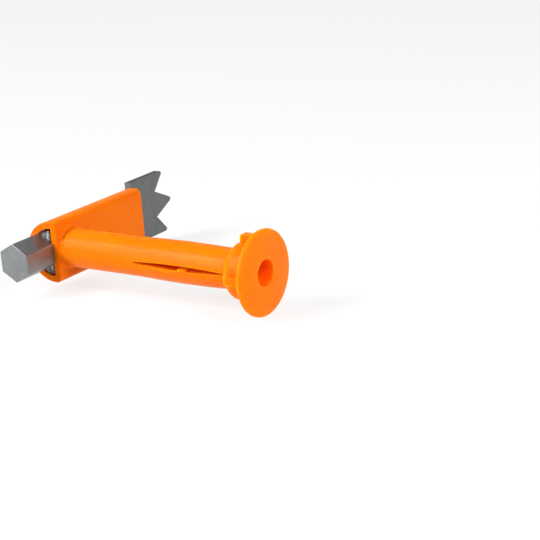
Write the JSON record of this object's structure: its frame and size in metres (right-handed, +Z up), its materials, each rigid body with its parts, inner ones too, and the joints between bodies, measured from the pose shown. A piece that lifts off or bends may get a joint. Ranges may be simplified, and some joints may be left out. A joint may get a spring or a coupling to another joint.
{
  "type": "drywall anchor",
  "caption": "Self-drilling toggle anchor: a flanged plastic sleeve hinged to a half-round toggle that holds a tapped steel bar with a hex shank and a saw-tooth cutter.",
  "frame": {"origin": "on the sleeve's axis, in the plane where the flange seats on the wall", "axes": "+X along the sleeve, out of the wall through the flange; +Y along the toggle from its hex shank to its cutter, toggle flipped across the sleeve; +Z up with the anchor lying on its side"},
  "size_m": [0.0502, 0.0462, 0.0152],
  "materials": {
    "orange_nylon": "satin moulded nylon",
    "bar_steel": "dull zinc-plated steel",
    "blade_steel": "stamped grey steel"
  },
  "bodies": {
    "sleeve": {"sleeve": "orange_nylon"},
    "toggle": {"toggle_saddle": "orange_nylon", "drive_bar": "bar_steel", "cutter_blade": "blade_steel"}
  },
  "joints": [
    {"name": "toggle_flip", "type": "hinge", "parent": "sleeve", "child": "toggle", "pos_m": [-0.04131, -0.003, 0], "axis": [0, 0, 1], "range_deg": [0, 90]}
  ]
}
